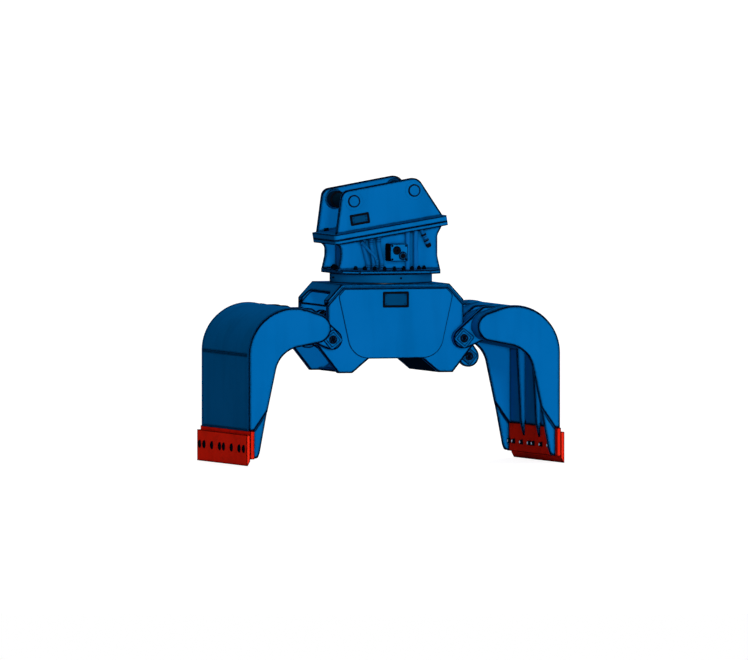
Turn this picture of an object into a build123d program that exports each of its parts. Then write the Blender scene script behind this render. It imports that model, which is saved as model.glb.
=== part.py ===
"""Two-jaw demolition and sorting grapple, standing open on its wear blades.

Millimetres, +Z up, origin on the floor on the slewing axis. The front is -Y. Each jaw is drawn
from its own hinge pin, in u (outwards) and w (upwards), and the left jaw is the mirror image.
"""
import math
import os

from build123d import *

# The hinge pins: their height above the floor, their distance from the slewing axis, and the
# housing plates that carry them.
pivot_height = 873
pivot_offset = 479
housing_reach_y = 365
housing_plate_thickness = 45
pivot_pin_radius = 36
pin_tail_radius = 26
pin_tail_length = 17
pin_centre_hole_radius = 13
pin_centre_hole_depth = 12
running_clearance = 0.08
seat_gap = 0.3

# Jaw box section: three corners, from the hinge pin, each with its rounding.
jaw_half_width = 588
side_plate_thickness = 28
back_reach = 655
crown_rise = 356
crown_centre_u = 327
crown_radius = back_reach - crown_centre_u
root_corner_u = -239
root_corner_w = 57
root_radius = 101
wall_thickness = 22
seam_drop = 100

# Jaw side plate below the box: the throat, the toe cut and its end.
throat_inset = 224
throat_u = back_reach - throat_inset
throat_w = -71
throat_radius = 200
toe_inset = 134
toe_u = back_reach - toe_inset
toe_height = 385
toe_w = toe_height - pivot_height
side_end_height = 245
side_end_w = side_end_height - pivot_height
side_end_width = 36

# Toe gussets, lip plate, wear blade and its bolts.
gusset_thickness = 20
gusset_low_inset = 79
gusset_low_u = back_reach - gusset_low_inset
gusset_low_height = 93
gusset_low_w = gusset_low_height - pivot_height
gusset_end_inset = 64
gusset_end_u = back_reach - gusset_end_inset
gusset_end_height = 51
gusset_end_w = gusset_end_height - pivot_height
gusset_round = 22
lip_overhang = 25
lip_half_width = jaw_half_width + lip_overhang
lip_thickness = 30
lip_inner = back_reach - lip_thickness
lip_end_height = 46
lip_end_w = lip_end_height - pivot_height
blade_inset = 3
blade_half_width = lip_half_width - blade_inset
blade_thickness = 26
blade_top_height = 217
blade_top_w = blade_top_height - pivot_height
blade_edge_flat = 8
blade_edge_height = 34
blade_bolt_height = 118
blade_bolt_w = blade_bolt_height - pivot_height
blade_bolt_shares = (0.08, 0.395, 0.705, 0.885)
blade_bolt_head_radius = 29
blade_bolt_head_sides = 12
blade_bolt_head_height = 12
blade_bolt_shank_side = 27
blade_nut_radius = 19
blade_nut_height = 22

# Hinge lugs outside the housing, and the rib plates that work as levers inside it.
lug_radius = 72
lug_side_clearance = 5
lug_inner_y = housing_reach_y + lug_side_clearance
lug_thickness = 55
lug_shoulder_radius = 60
lug_shoulder_u = 168
lug_shoulder_w = 162
lug_low_u = 30
lug_low_w = -66
lug_heel_u = 146
lug_end_u = 281
rib_y = 190
rib_thickness = 30
rib_boss_radius = 80
rib_depth_top = 68
rib_depth_low = 38
rib_end_rise = 16
rib_end_w = side_end_w + rib_end_rise
rib_tip_height = 167
rib_tip_w = rib_tip_height - pivot_height
rib_tip_depth = 6
hub_tube_radius = 55
hub_tube_gap = 4
hub_tube_reach = housing_reach_y - housing_plate_thickness - hub_tube_gap
root_window_radius = 118

# Lever pins: the cylinder pins above the hinges, and the tie rod's pin below the right one.
lever_u = 101
lever_w = 134
lever_pin_radius = 30
lever_eye_radius = 55
low_eye_radius = 75
lever_pin_overhang = 12
keeper_half_diagonal = 78
keeper_round = 18
keeper_thickness = 12
keeper_turn = 5
keeper_hub_share = 0.68
keeper_hub_height = 4
low_keeper_share = 0.85

# Grip cylinders and tie rod.
cylinder_y = 95
cylinder_eye_radius = 50
cylinder_eye_width = 60
cylinder_neck_radius = 40
barrel_radius = 66
barrel_bore_radius = 50
barrel_start = 62
barrel_length = 580
barrel_cap_thickness = 30
gland_length = 34
gland_radius = 72
rod_radius = 35
piston_length = 60
piston_gap = 10
slide_clearance = 0.5
tie_rod_thickness = 40
tie_rod_half_height = 25
tie_eye_radius = 48
tie_rod_side_gap = 10

# Housing: two plates with a wrapped top, a folded belly plate, end bars and covers.
housing_top = 383
housing_top_half = 393
housing_end_x = 495
housing_shoulder = 272
housing_skin = 22
housing_hinge_radius = 100
foot_drop = 239
foot_outer_x = 417
foot_inner_x = 316
belly_half = 195
belly_drop = 139
belly_thickness = 14
belly_lip_x = 360
end_bar_thickness = 12
end_bar_depth = 24
end_bar_drop = 1.5
end_notch_half = 275
end_notch_height = 72
end_notch_round = 45
cover_thickness = 6
cover_top = 350
cover_top_half = 372
cover_shoulder = 303
cover_shoulder_x = 417
cover_low_x = 319
cover_low_radius = 150
cover_shoulder_radius = 30
cover_margin = 3

# Slewing gear: outer ring under the head flange, toothed inner ring on the housing.
ring_radius = 359
ring_height = 66
race_radius = 300
ring_lift = 4
gear_module = 8
gear_teeth = 64
pinion_teeth = 12
gear_addendum = 6.5
gear_dedendum = 9
tooth_share = 0.44
flank_lean = 0.16
tooth_foot_share = 0.7
pinion_lift = 8
pinion_height = 42
pinion_shaft_radius = 20
pinion_shaft_engagement = 38
shaft_bore_spare = 2
shaft_hole_radius = 40
swivel_radius = 75
swivel_core_radius = 40
swivel_low = 262
swivel_high = 545
swivel_floor_gap = 20
swivel_roof = 15
swivel_roof_gap = 5
swivel_bar_thickness = 18
swivel_bar_half = 25
swivel_leg = 15
swivel_leg_offset = 20

# Head: flange, walls, end plates, motor, and the valve block on the front wall.
flange_half = 359
flange_corner = 100
flange_thickness = 29
flange_bolt_count = 30
flange_bolt_circle = 336
flange_bolt_radius = 15
flange_bolt_height = 28
head_wall_y = 206
head_wall_thickness = 20
head_foot_half = 373
head_waist_half = 352
head_waist_w = 570
head_neck_drop = 62
head_neck_half = 388
head_waist_round = 90
head_left_neck_round = 40
head_right_neck_round = 60
end_plate_x = 274
end_plate_thickness = 12
motor_radius = 50
motor_height = 170
motor_flange_half = 50
motor_flange_length = 150
motor_flange_round = 12
motor_flange_thickness = 18
motor_chamfer = 6
valve_left = -28
valve_right = 100
valve_low = 539
valve_high = 662
valve_depth = 125
valve_round = 10
port_places = ((20, 616), (63, 578))
port_ring_radius = 26
port_ring_height = 8
port_radius = 13
port_depth = 40

# Tilted band: the head's top plate and the bracket's base plate.
band_tilt = 9.2
band_low = 723
band_half_x = 417
band_half_y = 296
band_corner = 35
top_plate_thickness = 28
base_plate_thickness = 41
bracket_bolt_radius = 18
bracket_bolt_height = 20
bracket_bolt_y = 200
bracket_bolt_xs = (-330, -110, 110, 300)

# Bracket cheeks and the two pins that take the crane's stick and link.
cheek_y = 253
cheek_thickness = 30
stick_pin_x = -271
link_pin_x = 169
bracket_pin_lift = 212
cheek_foot_left = -399
cheek_foot_right = 378
cheek_over_stick = (-87, 70)
cheek_over_link = (25, 95)
cheek_stick_round = 62
cheek_link_round = 76
bracket_pin_radius = 44
bracket_pin_overhang = 8
bracket_boss_radius = 59
bracket_boss_length = 90
bracket_pin_chamfer = 3

# Steel pipes on the front of the head: two straight drains right of the valve block.
pipe_radius = 17
pipe_xs = (130, 188)

parts = {}


def rounded(corners):
    """Flat outline through (x, z, radius) corners."""
    outline = make_face(Polyline(*[(x, z) for x, z, _ in corners], close=True))
    for x, z, radius in corners:
        if radius:
            corner = outline.vertices().sort_by_distance((x, z, 0))[0]
            outline = fillet(corner, radius)
    return outline


def polygon(*points):
    """Flat outline with sharp corners."""
    return make_face(Polyline(*points, close=True))


def disc(x, z, radius):
    """Round outline about a point."""
    return Pos(x, z) * Circle(radius)


def band_between(*discs):
    """Outline stretched round two or more discs."""
    edges = [edge for shape in discs for edge in shape.edges()]
    return make_hull(edges)


def block(x_low, x_high, z_low, z_high):
    """Rectangle between two corners."""
    return Pos((x_low + x_high) / 2, (z_low + z_high) / 2) * Rectangle(x_high - x_low, z_high - z_low)


def slab(outline, y_low, y_high):
    """Plate of an outline drawn in X and Z, from y_low to y_high."""
    plane = Plane(origin=(0, y_high, 0), x_dir=(1, 0, 0), z_dir=(0, -1, 0))
    return extrude(plane * outline, amount=y_high - y_low)


def upright(outline, z_low, z_high):
    """Plate of an outline drawn in X and Y, from z_low to z_high."""
    return extrude(Pos(0, 0, z_low) * outline, z_high - z_low)


def both_ends(shape):
    """The shape and its copy mirrored front to back."""
    return [shape, mirror(shape, about=Plane.XZ)]


def at_right(shape):
    """From the hinge pin's frame to the right hinge."""
    return Pos(pivot_offset, 0, pivot_height) * shape


def at_left(shape):
    """From the hinge pin's frame to the left hinge, as a mirror image."""
    return mirror(at_right(shape), about=Plane.YZ)


def lifted(shape):
    """From heights counted from the hinge pins to heights above the floor."""
    return Pos(0, 0, pivot_height) * shape


def jaw_outlines():
    """Outlines that the plates of a jaw share."""
    slope = (throat_w - root_corner_w) / (throat_u - root_corner_u)
    heel_w = root_corner_w + slope * (back_reach - root_corner_u)
    box = rounded([(back_reach, crown_rise, crown_radius),
                   (root_corner_u, root_corner_w, root_radius),
                   (back_reach, heel_w, 0)])
    cavity = offset(box, amount=-wall_thickness)
    side = rounded([(back_reach, crown_rise, crown_radius),
                    (root_corner_u, root_corner_w, root_radius),
                    (throat_u, throat_w, throat_radius),
                    (toe_u, toe_w, 0),
                    (back_reach - side_end_width, side_end_w, 0),
                    (back_reach, side_end_w, 0)])
    shoulder_top = lug_shoulder_w + lug_shoulder_radius
    lug = band_between(disc(0, 0, lug_radius),
                       disc(lug_shoulder_u, lug_shoulder_w, lug_shoulder_radius))
    lug += polygon((0, 0), (lug_low_u, lug_low_w),
                   (lug_heel_u, root_corner_w + slope * (lug_heel_u - root_corner_u)),
                   (lug_end_u, root_corner_w + slope * (lug_end_u - root_corner_u)),
                   (lug_end_u, shoulder_top), (lug_shoulder_u, shoulder_top))
    return box, cavity, side, lug


def jaw_pieces(with_low_lever):
    """All plates, pins and bolts of one jaw, about its hinge pin."""
    box, cavity, side, lug = jaw_outlines()
    inner_y = jaw_half_width - side_plate_thickness
    back_inner = back_reach - wall_thickness

    pin_hole = disc(0, 0, pivot_pin_radius)
    lug_plate = slab(lug - pin_hole, lug_inner_y, lug_inner_y + lug_thickness)
    lugs = both_ends(lug_plate)

    levers = band_between(disc(0, 0, rib_boss_radius), disc(-lever_u, lever_w, lever_eye_radius))
    holes = disc(0, 0, hub_tube_radius) + disc(-lever_u, lever_w, lever_pin_radius)
    if with_low_lever:
        levers += band_between(disc(0, 0, rib_boss_radius), disc(lever_u, -lever_w, low_eye_radius))
        holes += disc(lever_u, -lever_w, lever_pin_radius)
    strip_top = 2 * wall_thickness - seam_drop
    strip = polygon((back_inner - rib_depth_top, strip_top), (back_inner, strip_top),
                    (back_inner, rib_end_w),
                    (lip_inner - seat_gap, rib_end_w),
                    (lip_inner - seat_gap, rib_tip_w),
                    (lip_inner - rib_tip_depth, rib_tip_w),
                    (back_inner - rib_depth_low, rib_end_w))
    rib_plate = slab(lug + cavity + strip + levers - holes,
                     rib_y - rib_thickness / 2, rib_y + rib_thickness / 2)
    ribs = both_ends(rib_plate)

    walls = box - cavity
    shell_outline = walls - block(back_inner, back_reach, -crown_rise, -seam_drop)
    shell = slab(shell_outline, -inner_y, inner_y)
    window = slab(disc(0, 0, root_window_radius), -lug_inner_y, lug_inner_y)
    shell = shell - lugs[0] - lugs[1] - ribs[0] - ribs[1] - window

    back = slab(block(back_inner, back_reach, side_end_w, -seam_drop), -inner_y, inner_y)
    side_plate = slab(side, inner_y, jaw_half_width)
    gusset = slab(rounded([(toe_u, toe_w, 0), (gusset_low_u, gusset_low_w, 0),
                           (gusset_end_u, gusset_end_w, gusset_round),
                           (lip_inner, gusset_end_w, 0), (lip_inner, side_end_w, 0),
                           (back_reach - side_end_width, side_end_w, 0)]),
                  inner_y, inner_y + gusset_thickness)

    bolt_ys = [side * share * lip_half_width for share in blade_bolt_shares for side in (1, -1)]
    bolt_holes = [Pos(back_reach, y, blade_bolt_w) * Box(
        4 * lip_thickness, blade_bolt_shank_side, blade_bolt_shank_side) for y in bolt_ys]
    lip = slab(block(lip_inner, back_reach, lip_end_w, side_end_w), -lip_half_width, lip_half_width)
    blade_out = back_reach + blade_thickness
    blade = slab(polygon((back_reach, blade_top_w), (back_reach, -pivot_height + blade_edge_height),
                         (blade_out - blade_edge_flat, -pivot_height), (blade_out, -pivot_height),
                         (blade_out, blade_top_w)),
                 -blade_half_width, blade_half_width)
    for hole in bolt_holes:
        lip = lip - hole
        blade = blade - hole
    nut_face = lip_inner - blade_nut_height
    bolts = []
    for y in bolt_ys:
        along = Pos(0, y, blade_bolt_w) * Rot(0, 90, 0)
        nut = extrude(RegularPolygon(blade_nut_radius, 6), blade_nut_height)
        shank = extrude(Rectangle(blade_bolt_shank_side, blade_bolt_shank_side), blade_out - lip_inner)
        head = extrude(RegularPolygon(blade_bolt_head_radius, blade_bolt_head_sides), blade_bolt_head_height)
        bolts.append(Pos(nut_face, 0, 0) * along * nut + Pos(lip_inner, 0, 0) * along * shank
                     + Pos(blade_out, 0, 0) * along * head)

    hub = slab(disc(0, 0, hub_tube_radius) - pin_hole, -hub_tube_reach, hub_tube_reach)
    keeper_y = lug_inner_y + lug_thickness
    pin = kept_pin(0, 0, pivot_pin_radius, keeper_y)
    keepers = both_ends(keeper(keeper_half_diagonal, keeper_y))

    return {"shell": shell, "back_plate": back, "side_plate": side_plate,
            "gussets": both_ends(gusset), "ribs": ribs, "hinge_lugs": lugs, "hub_tube": hub,
            "lip_plate": lip, "wear_blade": blade, "blade_bolts": bolts,
            "pivot_pin": pin, "pin_keepers": keepers}


def keeper(half_diagonal, y_low):
    """Square plate and hub standing on a corner, which keep a pin's tail from turning."""
    square = rounded([(half_diagonal, 0, keeper_round), (0, half_diagonal, keeper_round),
                      (-half_diagonal, 0, keeper_round), (0, -half_diagonal, keeper_round)])
    hub = polygon(*[(half_diagonal * keeper_hub_share * x, half_diagonal * keeper_hub_share * z)
                    for x, z in ((1, 0), (0, 1), (-1, 0), (0, -1))])
    turned = Rot(0, 0, keeper_turn)
    hole = Circle(pin_tail_radius)
    y_hub = y_low + keeper_thickness
    plate = slab(turned * square - hole, y_low, y_hub)
    return plate + slab(turned * hub - hole, y_hub, y_hub + keeper_hub_height)


def kept_pin(x, z, radius, reach):
    """Pin with a thinner tail through the keeper at each end, and a centre hole in each tail."""
    tail_end = reach + pin_tail_length
    pin = slab(disc(x, z, radius), -reach, reach)
    for y in (-tail_end, reach):
        pin += slab(disc(x, z, pin_tail_radius), y, y + pin_tail_length)
    for y in (-tail_end, tail_end - pin_centre_hole_depth):
        pin -= slab(disc(x, z, pin_centre_hole_radius), y, y + pin_centre_hole_depth)
    return pin


def make_jaws():
    """The two jaws, with the lower lever and its pin on the right one alone."""
    rib_face = rib_y + rib_thickness / 2
    pin_reach = rib_face + lever_pin_overhang
    for side_name, place, low in (("right", at_right, True), ("left", at_left, False)):
        pieces = jaw_pieces(low)
        side_plate = pieces.pop("side_plate")
        parts[side_name + "_rear_side_plate"] = place(side_plate)
        parts[side_name + "_front_side_plate"] = mirror(place(side_plate), about=Plane.XZ)
        if low:
            spot = (lever_u, -lever_w)
            low_keeper = Pos(spot[0], 0, spot[1]) * keeper(keeper_half_diagonal * low_keeper_share, rib_face)
            pieces["pin_keepers"] += both_ends(low_keeper)
            pieces["tie_rod_pin"] = kept_pin(*spot, lever_pin_radius, rib_face)
            pieces["cylinder_pin"] = slab(disc(-lever_u, lever_w, lever_pin_radius), -pin_reach, pin_reach)
        else:
            stub = slab(disc(-lever_u, lever_w, lever_pin_radius),
                        tie_rod_thickness / 2 + tie_rod_side_gap, pin_reach)
            pieces["cylinder_pins"] = both_ends(stub)
        for name, shape in pieces.items():
            if isinstance(shape, list):
                shape = Compound(children=[place(one) for one in shape])
                parts[side_name + "_" + name] = shape
            else:
                parts[side_name + "_" + name] = place(shape)


def make_cylinders():
    """Two grip cylinders between the upper lever pins, and the tie rod across the jaws."""
    left_x = -(pivot_offset - lever_u)
    right_x = pivot_offset - lever_u
    eye_hole = lever_pin_radius + running_clearance
    half_eye = cylinder_eye_width / 2
    barrel_low = left_x + barrel_start
    barrel_high = barrel_low + barrel_length

    def along_x(radius, x_low, x_high):
        return (Pos((x_low + x_high) / 2, 0, lever_w) * Rot(0, 90, 0)
                * Cylinder(radius, x_high - x_low))

    barrel = along_x(barrel_radius, barrel_low, barrel_high)
    neck = band_between(disc(left_x, lever_w, cylinder_eye_radius),
                        disc(barrel_low + barrel_cap_thickness / 2, lever_w, cylinder_neck_radius))
    barrel += slab(neck - disc(left_x, lever_w, eye_hole), -half_eye, half_eye)
    barrel -= along_x(barrel_bore_radius, barrel_low + barrel_cap_thickness, barrel_high)
    gland = along_x(gland_radius, barrel_high, barrel_high + gland_length)
    gland -= along_x(rod_radius + slide_clearance, barrel_high, barrel_high + gland_length)
    rod_end = right_x - rod_radius
    piston_low = barrel_low + barrel_cap_thickness + piston_gap
    rod = along_x(rod_radius, piston_low, rod_end)
    rod += along_x(barrel_bore_radius - slide_clearance, piston_low, piston_low + piston_length)
    rod += slab(disc(right_x, lever_w, cylinder_eye_radius), -half_eye, half_eye)
    rod -= slab(disc(right_x, lever_w, eye_hole), -half_eye, half_eye)
    for name, shape in (("barrels", barrel), ("glands", gland), ("rods", rod)):
        pair = [lifted(Pos(0, y, 0) * shape) for y in (-cylinder_y, cylinder_y)]
        parts["cylinder_" + name] = Compound(children=pair)

    low = (pivot_offset + lever_u, -lever_w)
    high = (left_x, lever_w)
    length = math.hypot(high[0] - low[0], high[1] - low[1])
    turn = math.degrees(math.atan2(high[1] - low[1], high[0] - low[0]))
    bar = block(tie_eye_radius / 2, length - tie_eye_radius / 2, -tie_rod_half_height, tie_rod_half_height)
    bar += disc(0, 0, tie_eye_radius) + disc(length, 0, tie_eye_radius)
    bar -= disc(0, 0, eye_hole) + disc(length, 0, eye_hole)
    rod_outline = Pos(*low) * Rot(0, 0, turn) * bar
    half = tie_rod_thickness / 2
    end_pin = slab(disc(*high, lever_pin_radius), -half, half)
    parts["tie_rod"] = Compound(children=[lifted(slab(rod_outline, -half, half)), lifted(end_pin)])


def make_housing():
    """The body between the jaws, with the toothed ring and the swivel's fixed core."""
    inner_y = housing_reach_y - housing_plate_thickness
    lean = math.atan2(housing_top - housing_shoulder, housing_end_x - housing_top_half)
    skin_corner_x = housing_top_half - housing_skin * math.tan(lean / 2)
    skin_low = housing_top - housing_skin
    skin_end = skin_low - (housing_end_x - skin_corner_x) * math.tan(lean)

    def mirrored(points):
        return [*points, *[(-x, z) for x, z in reversed(points)]]

    plate = polygon(*mirrored([(skin_corner_x, skin_low), (housing_end_x, skin_end), (housing_end_x, 0),
                               (foot_inner_x, -foot_drop), (belly_half, -belly_drop)]))
    for side in (-1, 1):
        hinge = disc(side * pivot_offset, 0, housing_hinge_radius)
        foot = Line((side * foot_inner_x, -foot_drop), (side * foot_outer_x, -foot_drop))
        plate += make_hull([*hinge.edges(), foot])
    bores = [disc(side * pivot_offset, 0, pivot_pin_radius + running_clearance) for side in (-1, 1)]
    rear = slab(plate - bores[0] - bores[1], inner_y, housing_reach_y)
    parts["housing_rear_plate"] = lifted(rear)
    parts["housing_front_plate"] = lifted(mirror(rear, about=Plane.XZ))

    top = polygon((-housing_end_x, housing_shoulder), (-housing_top_half, housing_top),
                  (housing_top_half, housing_top), (housing_end_x, housing_shoulder),
                  (housing_end_x, skin_end), (skin_corner_x, skin_low),
                  (-skin_corner_x, skin_low), (-housing_end_x, skin_end))
    top = slab(top, -housing_reach_y, housing_reach_y)
    gear_root = gear_module * gear_teeth / 2 - gear_addendum
    top -= Pos(0, 0, housing_top) * Cylinder(gear_root, 4 * housing_skin)
    slope = math.hypot(housing_end_x - housing_top_half, housing_top - housing_shoulder)
    notch = Pos(slope - end_notch_height, 0) * RectangleRounded(
        4 * end_notch_height, 2 * end_notch_half, end_notch_round)
    notch = Pos(2 * end_notch_height, 0) * notch
    for side in (-1, 1):
        tool = extrude(notch, 2 * housing_skin, both=True)
        tool = Pos(housing_top_half, 0, housing_top) * Rot(0, math.degrees(lean), 0) * tool
        top -= tool if side > 0 else mirror(tool, about=Plane.YZ)
    parts["housing_top_plate"] = lifted(top)

    belly_path = mirrored([(belly_lip_x, -foot_drop), (foot_inner_x, -foot_drop), (belly_half, -belly_drop)])
    upper_path = [(x, z + belly_thickness) for x, z in reversed(belly_path)]
    parts["housing_belly_plate"] = lifted(slab(polygon(*belly_path, *upper_path), -inner_y, inner_y))

    bars = []
    bar_top = skin_end - end_bar_drop
    for side in (-1, 1):
        bar_x = sorted((side * housing_end_x, side * (housing_end_x - end_bar_depth)))
        bars.append(lifted(slab(block(*bar_x, bar_top - end_bar_thickness, bar_top), -inner_y, inner_y)))
    parts["housing_end_bars"] = Compound(children=bars)

    cover_low = cover_margin - belly_drop
    cover = rounded([(cover_top_half, cover_top, 0),
                     (cover_shoulder_x, cover_shoulder, cover_shoulder_radius),
                     (cover_low_x, cover_low, cover_low_radius),
                     (-cover_low_x, cover_low, cover_low_radius),
                     (-cover_shoulder_x, cover_shoulder, cover_shoulder_radius),
                     (-cover_top_half, cover_top, 0)])
    rear_cover = lifted(slab(cover, housing_reach_y, housing_reach_y + cover_thickness))
    parts["rear_cover"] = rear_cover
    parts["front_cover"] = mirror(rear_cover, about=Plane.XZ)


def toothed(pitch_radius, teeth, outward, grow, deep):
    """Teeth on a pitch circle as one flat outline of separate tooth shapes."""
    pitch = 2 * math.pi * pitch_radius / teeth
    half = pitch * tooth_share / 2
    tip = pitch_radius + outward * grow
    foot = pitch_radius - outward * (deep + gear_module)
    tip_half = half - flank_lean * grow
    foot_half = half + flank_lean * deep * tooth_foot_share
    tooth = polygon((foot, -foot_half), (tip, -tip_half), (tip, tip_half), (foot, foot_half))
    return [Rot(0, 0, 360 / teeth * (i + 0.5)) * tooth for i in range(teeth)]


def make_slewing_gear():
    """Outer ring, toothed inner ring, pinion and the two halves of the oil swivel."""
    base = pivot_height + housing_top
    ring = Circle(ring_radius) - Circle(race_radius)
    parts["slew_ring"] = upright(ring, base + ring_lift, base + ring_height)

    ring_pitch = gear_module * gear_teeth / 2
    inner = Circle(race_radius - slide_clearance) - Circle(ring_pitch + gear_dedendum)
    inner += toothed(ring_pitch, gear_teeth, -1, gear_addendum, gear_dedendum)
    inner &= Circle(race_radius - slide_clearance)
    parts["ring_gear"] = upright(inner, base, base + ring_height - 2 * ring_lift)

    pinion_pitch = gear_module * pinion_teeth / 2
    centre_x = ring_pitch - pinion_pitch
    wheel = Circle(pinion_pitch - gear_dedendum)
    wheel += toothed(pinion_pitch, pinion_teeth, 1, gear_addendum, gear_dedendum)
    wheel = Rot(0, 0, 180 / pinion_teeth) * wheel
    pinion = upright(wheel, base + pinion_lift, base + pinion_lift + pinion_height)
    motor_base = base + ring_height + flange_thickness
    shaft_top = motor_base + pinion_shaft_engagement
    pinion += upright(Circle(pinion_shaft_radius), base + pinion_lift, shaft_top)
    parts["drive_pinion"] = Pos(centre_x, 0, 0) * pinion

    motor = upright(RectangleRounded(2 * motor_flange_half, motor_flange_length, motor_flange_round),
                    motor_base, motor_base + motor_flange_thickness)
    motor += upright(Circle(motor_radius), motor_base, motor_base + motor_height)
    bore_top = shaft_top + shaft_bore_spare
    motor -= upright(Circle(pinion_shaft_radius + running_clearance), motor_base, bore_top)
    motor = chamfer(motor.edges().sort_by(Axis.Z)[-1], motor_chamfer)
    parts["rotation_motor"] = Pos(centre_x, 0, 0) * motor

    core_low = pivot_height + swivel_low + swivel_bar_thickness
    body_low = core_low + swivel_floor_gap
    top = pivot_height + swivel_high
    body = upright(Circle(swivel_radius), body_low, top)
    body -= upright(Circle(swivel_core_radius + slide_clearance), body_low, top - swivel_roof)
    parts["swivel_body"] = body
    core = upright(Circle(swivel_core_radius), core_low, top - swivel_roof - swivel_roof_gap)
    leg_y = gear_module * gear_teeth / 2 + swivel_leg_offset
    bar_low = pivot_height + swivel_low
    core += upright(Rectangle(2 * swivel_bar_half, 2 * leg_y), bar_low, core_low)
    for side in (-1, 1):
        leg = Pos(0, side * (leg_y - swivel_leg / 2)) * Rectangle(2 * swivel_bar_half, swivel_leg)
        core += upright(leg, bar_low, pivot_height + housing_top - housing_skin)
    parts["swivel_core"] = core


def band_height(x):
    """Height of the tilted band's underside above the hinge pins."""
    return band_low + x * math.tan(math.radians(band_tilt))


def tilted(shape, lift):
    """From a flat drawing to the band's slope, at a lift along the band's normal."""
    return Pos(0, 0, pivot_height + band_low) * Rot(0, -band_tilt, 0) * Pos(0, 0, lift) * shape


def make_head():
    """Flange, walls and top plate of the turning head."""
    base = housing_top + ring_height
    outline = Rectangle(2 * flange_half, 2 * flange_half)
    outline = chamfer(outline.vertices(), flange_corner)
    gear_offset = gear_module * (gear_teeth - pinion_teeth) / 2
    outline -= Circle(swivel_radius) + Pos(gear_offset, 0) * Circle(shaft_hole_radius)
    floor = base + flange_thickness
    parts["head_flange"] = lifted(upright(outline, base, floor))
    heads = []
    for index in range(flange_bolt_count):
        head = upright(RegularPolygon(flange_bolt_radius, 6), floor, floor + flange_bolt_height)
        turn = Rot(0, 0, 360 / flange_bolt_count * (index + 0.5))
        heads.append(lifted(turn * Pos(flange_bolt_circle, 0, 0) * head))
    parts["flange_bolts"] = Compound(children=heads)

    left_neck = band_height(-head_waist_half) - head_neck_drop / 2
    right_neck = band_height(head_waist_half) - head_neck_drop
    wall = rounded([(-head_foot_half, floor, 0),
                    (-head_waist_half, head_waist_w, head_waist_round),
                    (-head_waist_half, left_neck, head_left_neck_round),
                    (-head_neck_half, band_height(-head_neck_half), 0),
                    (head_neck_half, band_height(head_neck_half), 0),
                    (head_waist_half, right_neck, head_right_neck_round),
                    (head_waist_half, head_waist_w, head_waist_round),
                    (head_foot_half, floor, 0)])
    rear = lifted(slab(wall, head_wall_y - head_wall_thickness, head_wall_y))
    parts["head_rear_wall"] = rear
    parts["head_front_wall"] = mirror(rear, about=Plane.XZ)
    ends = []
    inner_y = head_wall_y - head_wall_thickness
    for side in (-1, 1):
        near = side * (end_plate_x - end_plate_thickness)
        far = side * end_plate_x
        plate = polygon((near, floor), (far, floor), (far, band_height(far)), (near, band_height(near)))
        ends.append(lifted(slab(plate, -inner_y, inner_y)))
    parts["head_end_plates"] = Compound(children=ends)

    band = RectangleRounded(2 * band_half_x, 2 * band_half_y, band_corner)
    parts["head_top_plate"] = tilted(extrude(band, top_plate_thickness), 0)
    parts["bracket_base_plate"] = tilted(extrude(band, base_plate_thickness), top_plate_thickness)
    cap = top_plate_thickness + base_plate_thickness
    bolts = []
    for x in bracket_bolt_xs:
        for y in (-bracket_bolt_y, bracket_bolt_y):
            head = extrude(RegularPolygon(bracket_bolt_radius, 6), bracket_bolt_height)
            bolts.append(tilted(Pos(x, y, 0) * head, cap))
    parts["bracket_bolts"] = Compound(children=bolts)

    face_y = -head_wall_y - valve_depth
    valve = slab(block(valve_left, valve_right, valve_low, valve_high), face_y, -head_wall_y)
    valve = fillet(valve.edges().filter_by(Axis.Y), valve_round)
    for x, z in port_places:
        valve += slab(disc(x, z, port_ring_radius), face_y - port_ring_height, face_y)
    for x, z in port_places:
        valve -= slab(disc(x, z, port_radius), face_y - port_ring_height,
                      face_y - port_ring_height + port_depth)
    parts["valve_block"] = lifted(valve)

    pipe_y = -head_wall_y - pipe_radius - seat_gap
    pipes = []
    for x in pipe_xs:
        outline = Pos(x, pipe_y) * Circle(pipe_radius)
        pipes.append(lifted(upright(outline, floor, band_height(x - pipe_radius))))
    parts["drain_pipes"] = Compound(children=pipes)


def make_bracket():
    """Cheeks on the base plate and the pins for the stick and the link."""
    cap = (top_plate_thickness + base_plate_thickness) / math.cos(math.radians(band_tilt))
    places = [(x, band_height(x) + cap + bracket_pin_lift) for x in (stick_pin_x, link_pin_x)]
    (stick_x, stick_z), (link_x, link_z) = places
    cheek = rounded([(cheek_foot_left, band_height(cheek_foot_left) + cap, 0),
                     (stick_x + cheek_over_stick[0], stick_z + cheek_over_stick[1], cheek_stick_round),
                     (link_x + cheek_over_link[0], link_z + cheek_over_link[1], cheek_link_round),
                     (cheek_foot_right, band_height(cheek_foot_right) + cap, 0)])
    inner_y = cheek_y - cheek_thickness
    rear = slab(cheek, inner_y, cheek_y)
    for x, z in places:
        rear += slab(disc(x, z, bracket_boss_radius), inner_y - bracket_boss_length, inner_y)
        rear -= slab(disc(x, z, bracket_pin_radius), inner_y - bracket_boss_length, cheek_y)
    parts["bracket_rear_cheek"] = lifted(rear)
    parts["bracket_front_cheek"] = lifted(mirror(rear, about=Plane.XZ))
    for name, (x, z) in zip(("stick_pin", "link_pin"), places):
        pin_reach = cheek_y + bracket_pin_overhang
        pin = slab(disc(x, z, bracket_pin_radius), -pin_reach, pin_reach)
        ends = pin.edges().filter_by(GeomType.CIRCLE)
        parts[name] = lifted(chamfer(ends, bracket_pin_chamfer))


make_jaws()
make_cylinders()
make_housing()
make_slewing_gear()
make_head()
make_bracket()

os.makedirs("parts", exist_ok=True)
for name, shape in parts.items():
    export_step(shape, f"parts/{name}.step")
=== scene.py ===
import math

import bmesh
import bpy
from mathutils import Matrix, Vector


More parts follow.
